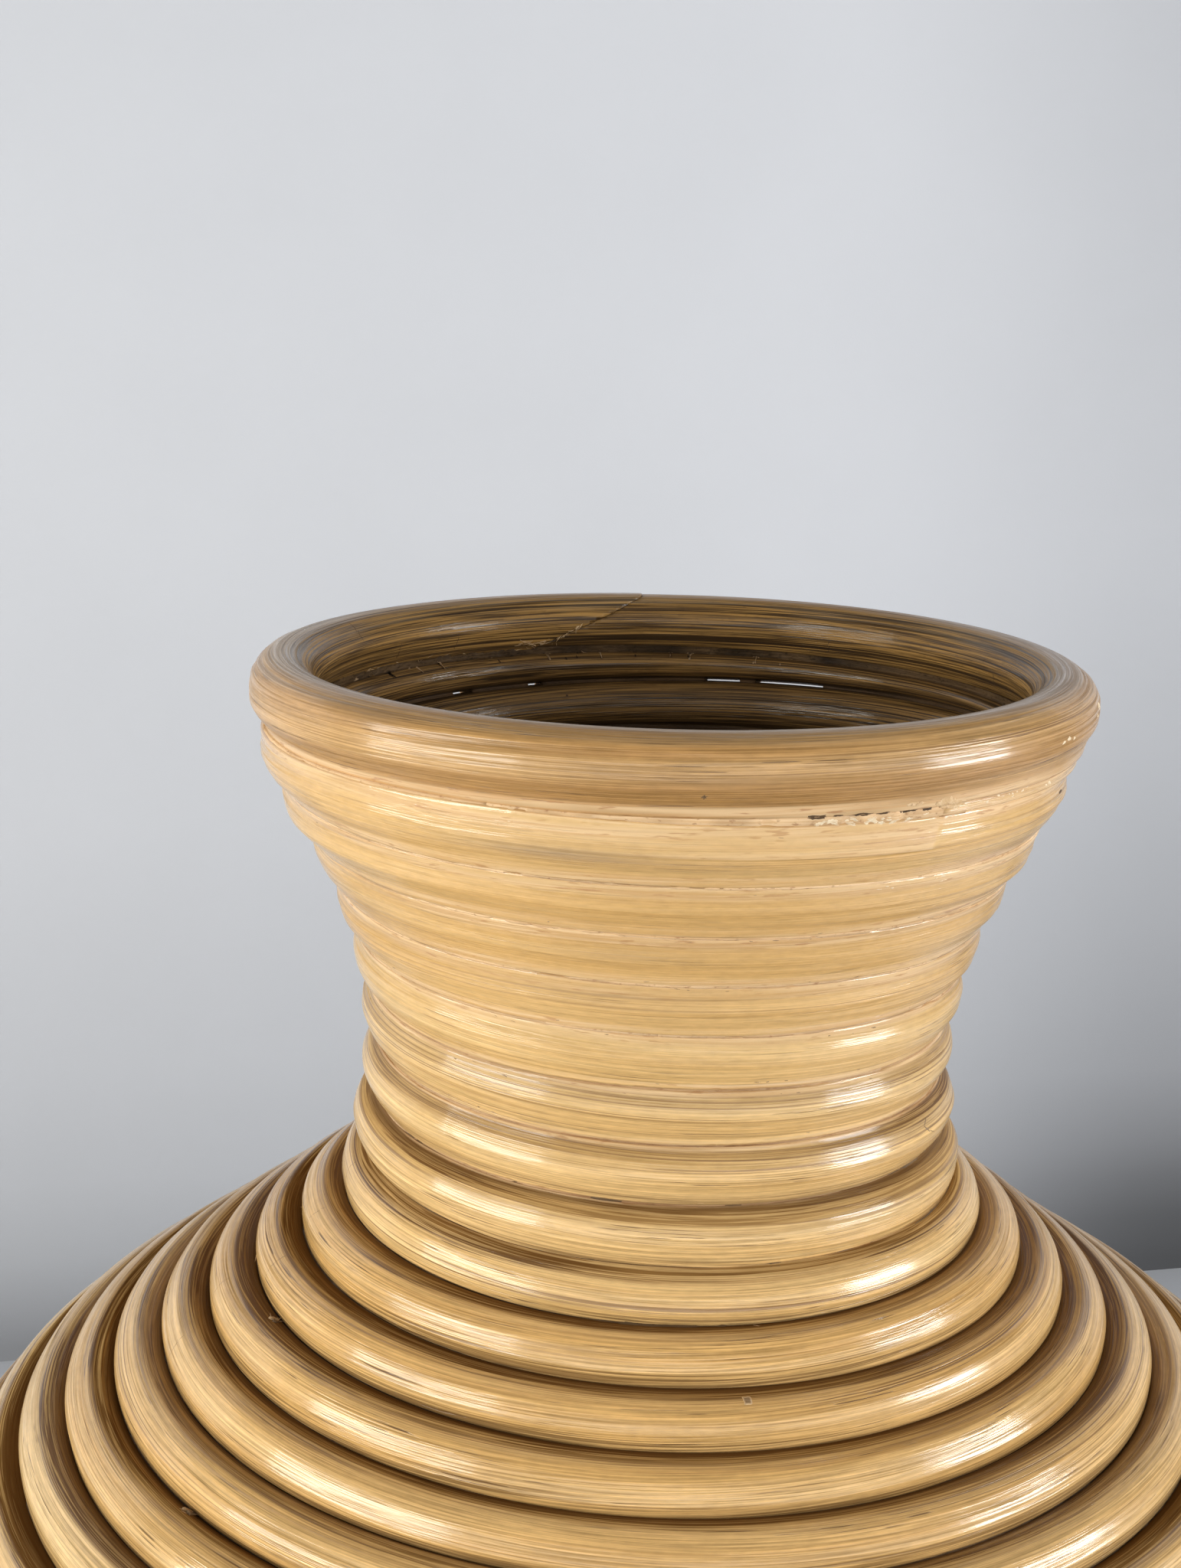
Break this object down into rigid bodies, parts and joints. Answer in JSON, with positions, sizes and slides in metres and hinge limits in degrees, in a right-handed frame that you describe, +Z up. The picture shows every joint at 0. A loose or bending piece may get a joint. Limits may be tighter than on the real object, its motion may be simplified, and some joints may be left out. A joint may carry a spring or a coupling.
{
  "type": "floor vase",
  "caption": "Tall floor vase wound from rattan pole, with a wide round mouth, narrow neck, full belly and level foot ring; open inside.",
  "frame": {"origin": "on the vase's axis at floor level, under the middle of the foot ring", "axes": "+Z up along the vase's axis; +Y away from the viewer of the reference picture; +X to that viewer's right"},
  "size_m": [0.5333, 0.5332, 0.6426],
  "materials": {
    "rim_rattan": "semi-gloss lacquer, worn along the top",
    "coil_rattan_honey": "sanded, semi-gloss lacquer",
    "coil_rattan_straw": "sanded, semi-gloss lacquer",
    "coil_rattan_tan": "sanded, semi-gloss lacquer",
    "foot_rattan": "sanded, thin lacquer",
    "birch_plywood": "raw",
    "brad_steel": "plain"
  },
  "bodies": {
    "root": {"base_board": "birch_plywood", "board_brad_1": "brad_steel", "board_brad_2": "brad_steel", "board_brad_3": "brad_steel", "board_brad_4": "brad_steel", "board_brad_5": "brad_steel", "board_brad_6": "brad_steel", "coil_pole_01": "coil_rattan_honey", "coil_pole_02": "coil_rattan_straw", "coil_pole_03": "coil_rattan_tan", "coil_pole_04": "coil_rattan_honey", "coil_pole_05": "coil_rattan_straw", "coil_pole_06": "coil_rattan_tan", "coil_pole_07": "coil_rattan_honey", "coil_pole_08": "coil_rattan_straw", "coil_pole_09": "coil_rattan_tan", "coil_pole_10": "coil_rattan_honey", "coil_pole_11": "coil_rattan_straw", "coil_pole_12": "coil_rattan_tan", "coil_pole_13": "coil_rattan_honey", "coil_pole_14": "coil_rattan_straw", "foot_ring": "foot_rattan", "rim_ring": "rim_rattan", "rim_scarf_brad_1": "brad_steel", "rim_scarf_brad_2": "brad_steel", "scarf_01_brad_1": "brad_steel", "scarf_01_brad_2": "brad_steel", "scarf_02_brad_1": "brad_steel", "scarf_02_brad_2": "brad_steel", "scarf_03_brad_1": "brad_steel", "scarf_03_brad_2": "brad_steel", "scarf_04_brad_1": "brad_steel", "scarf_04_brad_2": "brad_steel", "scarf_05_brad_1": "brad_steel", "scarf_05_brad_2": "brad_steel", "scarf_06_brad_1": "brad_steel", "scarf_06_brad_2": "brad_steel", "scarf_07_brad_1": "brad_steel", "scarf_07_brad_2": "brad_steel", "scarf_08_brad_1": "brad_steel", "scarf_08_brad_2": "brad_steel", "scarf_09_brad_1": "brad_steel", "scarf_09_brad_2": "brad_steel", "scarf_10_brad_1": "brad_steel", "scarf_10_brad_2": "brad_steel", "scarf_11_brad_1": "brad_steel", "scarf_11_brad_2": "brad_steel", "scarf_12_brad_1": "brad_steel", "scarf_12_brad_2": "brad_steel", "scarf_13_brad_1": "brad_steel", "scarf_13_brad_2": "brad_steel"}
  },
  "joints": []
}
